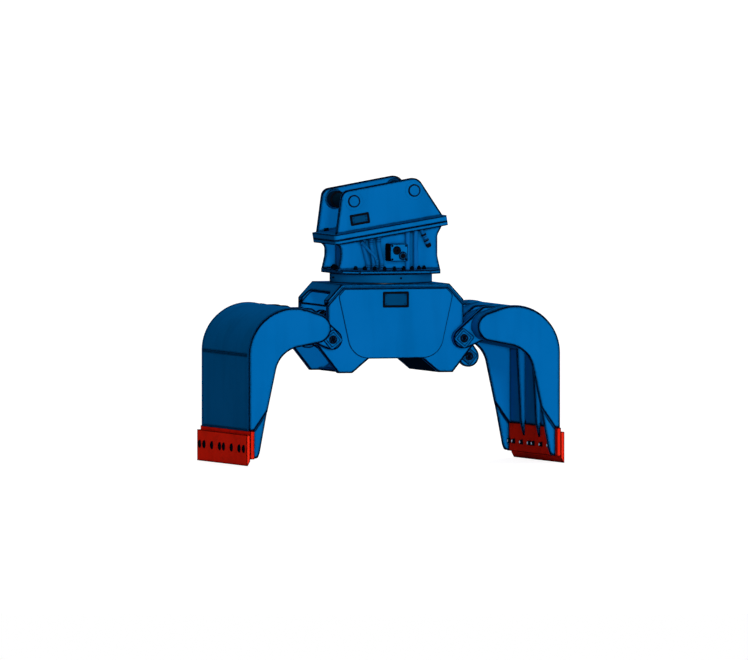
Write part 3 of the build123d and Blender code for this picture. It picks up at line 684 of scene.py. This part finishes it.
seal_steps = ((0.0345, 0), (0.0345, 0.0014), (0.0430, 0.0014), (pin_radius, 0.0008),
              (pin_radius, -0.005), (0.0345, 0))
washer_steps = ((pin_radius + 0.0005, 0), (boss_radius, 0), (boss_radius, 0.0018),
                (boss_radius - 0.0008, 0.0025), (pin_radius + 0.0005, 0.0025), (pin_radius + 0.0005, 0))
cheek_plate_x = -0.228
cheek_plate_z = 1.709
cheek_plate_size = (0.142, 0.078)
pin_paint = (0.0, 0.120, 0.380)
# Dark colours between the cheeks: partly grease, partly painted shade.
pin_grease_and_shade = (0.001, 0.020, 0.045)
boss_grease_and_shade = (0.0, 0.020, 0.055)


def painted_ends(name, finish, inner_colour, painted_from):
    """Copy of a finish, painted beyond a distance from the middle, with grease and painted shade within."""
    greased = finish.copy()
    greased.name = name
    tree = greased.node_tree
    shader = tree.nodes["Principled BSDF"]
    place = tree.nodes.new("ShaderNodeTexCoord")
    split = tree.nodes.new("ShaderNodeSeparateXYZ")
    distance = tree.nodes.new("ShaderNodeMath")
    distance.operation = "ABSOLUTE"
    inside = tree.nodes.new("ShaderNodeMath")
    inside.operation = "LESS_THAN"
    inside.inputs[1].default_value = painted_from
    blend = tree.nodes.new("ShaderNodeMix")
    blend.data_type = "RGBA"
    blend.inputs["B"].default_value = (*inner_colour, 1.0)
    tree.links.new(place.outputs["Object"], split.inputs[0])
    tree.links.new(split.outputs["Y"], distance.inputs[0])
    tree.links.new(distance.outputs[0], inside.inputs[0])
    tree.links.new(inside.outputs[0], blend.inputs["Factor"])
    tree.links.new(shader.inputs["Base Color"].links[0].from_socket, blend.inputs["A"])
    tree.links.new(blend.outputs["Result"], shader.inputs["Base Color"])
    return greased


pin_enamel = enamel("pin_enamel", pin_paint, edge_size=0.016, corner_shade_amount=0.95)
dress(band_enamel, "bracket_base_plate")
# Painted shade and grease: the bosses and pins are dark between the cheeks.
dress(painted_ends("cheek_grease_and_shade_finish", blue_enamel, boss_grease_and_shade, cheek_inner_y - 0.001),
      "bracket_front_cheek", "bracket_rear_cheek")
greased_pin = painted_ends("greased_pin", pin_enamel, pin_grease_and_shade, cheek_inner_y)
dress(greased_pin, "stick_pin", "link_pin")
mesh = bmesh.new()
for y in (-cheek_face_y, -cheek_inner_y, cheek_inner_y, cheek_face_y):
    weld(mesh, [(x, y, band_under(x) + base_top) for x in cheek_foot], cheek_bead)
for x, z in pin_places:
    for face in (-1, 1):
        y = face * (cheek_inner_y - 0.001)
        weld(mesh, [(x + boss_radius * math.cos(t), y, z + boss_radius * math.sin(t))
                    for t in [2 * math.pi * n / 48 for n in range(49)]], boss_bead)
finished("bracket_welds", mesh, weld_enamel, "head")

slope = Matrix.Translation(Vector((0, 0, band_z))) @ Matrix.Rotation(-band_tilt, 4, "Y")
mesh = bmesh.new()
for x, y in bracket_screws:
    stand = slope @ Matrix.Translation(Vector((x, y, 0.069)))
    turned(mesh, stand, screw_washer, 20)
    turned(mesh, stand, screw_hexagon, 6)
bracket_heads = finished("bracket_screw_heads", mesh, black_bolt, "head")
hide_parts("bracket_bolts")

collars = bmesh.new()
seals = bmesh.new()
for x, z in pin_places:
    for face in (-1, 1):
        turned(collars, pointing((x, face * (cheek_face_y - 0.001), z), (0, face, 0)), collar_steps, 48)
        turned(seals, pointing((x, face * (pin_end_y - 0.001), z), (0, face, 0)), seal_steps, 48)
        turned(seals, pointing((x, face * washer_y, z), (0, -face, 0)), washer_steps, 40)
collar_enamel = enamel("collar_enamel", blue, edge_size=0.001, corner_shade_amount=0.0)
finished("pin_collars", collars, collar_enamel, "head")
finished("pin_seals", seals, dark_enamel, "head")
stand = pointing((cheek_plate_x, -cheek_face_y, cheek_plate_z), (0, -1, 0))
stand = stand @ Matrix.Rotation(band_tilt, 4, "Z")
blank_plate("cheek_blank_plate", stand, *cheek_plate_size, "head")

# Jaws: each is a rolled shell between two flame-cut side plates, with two ribs and two hinge lugs
# let into it, a red lip plate welded under it, and a red wear blade held by eight plough bolts.
hinge_x = 0.479
hinge_z = 0.873
tie_pin_x = 0.580
tie_pin_z = 0.739
shell_edge_y = 0.560
back_u = 0.655
back_inner_u = 0.633
root_centre = (0.1591, 0.0838)
root_round = 0.101
crown_centre = (0.327, -0.0995)
crown_round = 0.328
crown_lean = 90 + 18.49
seam_w = -0.100
side_end_w = -0.628
toe_corner = (0.521, -0.488)
toe_weld_y = 0.581
toe_weld_u = 0.619
rib_top_w = -0.06
rib_low_w = -0.60
crown_bead = 0.0055
rib_bead = 0.006
seam_bead = 0.005
lip_red = (0.68, 0.015, 0.005)
worn_lip = (0.42, 0.014, 0.006)
blade_red = (0.78, 0.022, 0.008)
worn_blade = (0.62, 0.022, 0.009)
red_edge = (0.004, 0.0, 0.0)
bright_steel = (0.30, 0.45, 0.62)
blade_bolt_w = -0.755
blade_bolt_ys = (-0.542, -0.432, -0.242, -0.049, 0.049, 0.242, 0.432, 0.542)
blade_face_u = 0.681
lip_inner_u = 0.625
rib_faces = (0.175, 0.205)
lug_faces = (0.370, 0.425)
pin_tail_y = 0.442
tie_pin_tail_y = 0.222
circlip_steps = ((0.0170, -0.002), (0.0170, 0.0012), (0.0275, 0.0012), (0.0285, 0.0004),
                 (0.0285, -0.002), (0.0170, -0.002))
centre_steps = ((0, -0.011), (0.0108, -0.011), (0.0108, -0.0035), (0.0095, -0.002), (0.0055, -0.002),
                (0.0050, -0.007), (0, -0.007))
plough_head = ((0, 0), (0.029, 0), (0.029, 0.004), (0.025, 0.009), (0.016, 0.0125), (0, 0.013))
plough_washer = ((0, 0), (0.019, 0), (0.019, 0.003), (0, 0.003))
plough_nut = ((0, 0.002), (0.0188, 0.002), (0.0188, 0.016), (0.0165, 0.0185), (0, 0.0185))
plough_end = ((0, 0.017), (0.0095, 0.017), (0.0095, 0.0205), (0.0080, 0.022), (0, 0.022))


def arc(centre, radius, start, end, count):
    """Points on a round corner, by angle in degrees."""
    angles = [math.radians(start + (end - start) * n / count) for n in range(count + 1)]
    return [(centre[0] + radius * math.cos(a), centre[1] + radius * math.sin(a)) for a in angles]


lip_enamel = enamel("lip_enamel", lip_red, roughness=0.5, edge=red_edge, edge_size=0.014, bare=worn_lip)
blade_enamel = enamel("blade_enamel", blade_red, roughness=0.5, edge=red_edge, edge_size=0.014,
                      bare=worn_blade)
bright_end = bare_steel("bolt_end", bright_steel, 0.5, metallic=0.2, gloss=0.2)
crown_line = (arc(root_centre, root_round, 215, crown_lean, 14)
              + arc(crown_centre, crown_round, crown_lean, 0, 22) + [(back_u, side_end_w)])
root_line = (arc(root_centre, root_round, 200, crown_lean, 12)
             + arc(crown_centre, crown_round, crown_lean, 98, 2))
jaw_plates = ("shell", "back_plate", "front_side_plate", "rear_side_plate", "gussets", "ribs", "hinge_lugs")

for jaw, side in (("right", 1), ("left", -1)):
    body = jaw + "_jaw"
    dress(blue_enamel, *[jaw + "_" + plate for plate in jaw_plates])
    dress(lip_enamel, jaw + "_lip_plate")
    dress(blade_enamel, jaw + "_wear_blade")
    pins_and_keepers = [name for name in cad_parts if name.startswith(jaw) and "_pin" in name]
    dress(pin_enamel, jaw + "_hub_tube", *pins_and_keepers)

    def at(u, y, w):
        """Place u outward from this jaw's hinge and w above it."""
        return Vector((side * (hinge_x + u), y, hinge_z + w))

    mesh = bmesh.new()
    for face in (-1, 1):
        edge_y = face * shell_edge_y
        toe_y = face * toe_weld_y
        weld(mesh, [at(u, edge_y, w) for u, w in crown_line], crown_bead)
        weld(mesh, [at(back_inner_u, edge_y, w) for w in (rib_top_w, side_end_w)], rib_bead)
        weld(mesh, [at(toe_corner[0], toe_y, toe_corner[1]), at(toe_weld_u, toe_y, side_end_w)], seam_bead)
        for y in rib_faces:
            weld(mesh, [at(back_inner_u, face * y, w) for w in (rib_top_w, rib_low_w)], rib_bead)
        for y in rib_faces + lug_faces:
            weld(mesh, [at(u, face * y, w) for u, w in root_line], rib_bead)
    for w in (seam_w, side_end_w):
        weld(mesh, [at(back_u - 0.001, y, w) for y in (-shell_edge_y, shell_edge_y)], seam_bead)
    finished(jaw + "_jaw_welds", mesh, weld_enamel, body)

    mesh = bmesh.new()
    pin_ends = [(side * hinge_x, face * pin_tail_y, hinge_z) for face in (-1, 1)]
    if side > 0:
        pin_ends += [(tie_pin_x, face * tie_pin_tail_y, tie_pin_z) for face in (-1, 1)]
    for x, y, z in pin_ends:
        stand = pointing((x, y, z), (0, math.copysign(1, y), 0))
        turned(mesh, stand, circlip_steps, 36)
        turned(mesh, stand, centre_steps, 24)
    finished(jaw + "_circlips", mesh, dark_enamel, body)

    heads = bmesh.new()
    ends = bmesh.new()
    for y in blade_bolt_ys:
        outward = pointing(at(blade_face_u - 0.001, y, blade_bolt_w), (side, 0, 0))
        turned(heads, outward, plough_head, 24)
        inward = pointing(at(lip_inner_u, y, blade_bolt_w), (-side, 0, 0))
        turned(heads, inward, plough_washer, 20)
        turned(heads, inward, plough_nut, 6)
        turned(ends, inward, plough_end, 14)
    plough_bolts = finished(jaw + "_plough_bolts", heads, black_bolt, body)
    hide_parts(jaw + "_blade_bolts")
    finished(jaw + "_bolt_ends", ends, bright_end, body)

# Grip cylinders and tie rod: honed tubes with screwed glands and chromed rods, side by side inside
# the housing, and a flat forged bar that keeps the jaws in step.
barrel_axis_z = 1.007
barrel_y = 0.095
barrel_face = 0.066
barrel_ports = (-0.262, 0.238)
port_boss = ((0, 0), (0.022, 0), (0.022, 0.012), (0.019, 0.015), (0, 0.015))
port_plug = ((0, 0), (0.0165, 0), (0.0165, 0.012), (0, 0.012))
chrome = (0.75, 0.75, 0.77)

rod_metal = bare_steel("rod_metal", chrome, 0.18, metallic=1.0)
dress(dark_enamel, "cylinder_barrels", "cylinder_glands")
dress(rod_metal, "cylinder_rods")
dress(blue_enamel, "tie_rod")
mesh = bmesh.new()
for y in (-barrel_y, barrel_y):
    for x in barrel_ports:
        turned(mesh, pointing((x, y, barrel_axis_z + barrel_face - 0.003), (0, 0, 1)), port_boss, 20)
        turned(mesh, pointing((x, y, barrel_axis_z + barrel_face + 0.012), (0, 0, 1)), port_plug, 6)
finished("barrel_ports", mesh, dark_enamel, "cylinder_barrels")
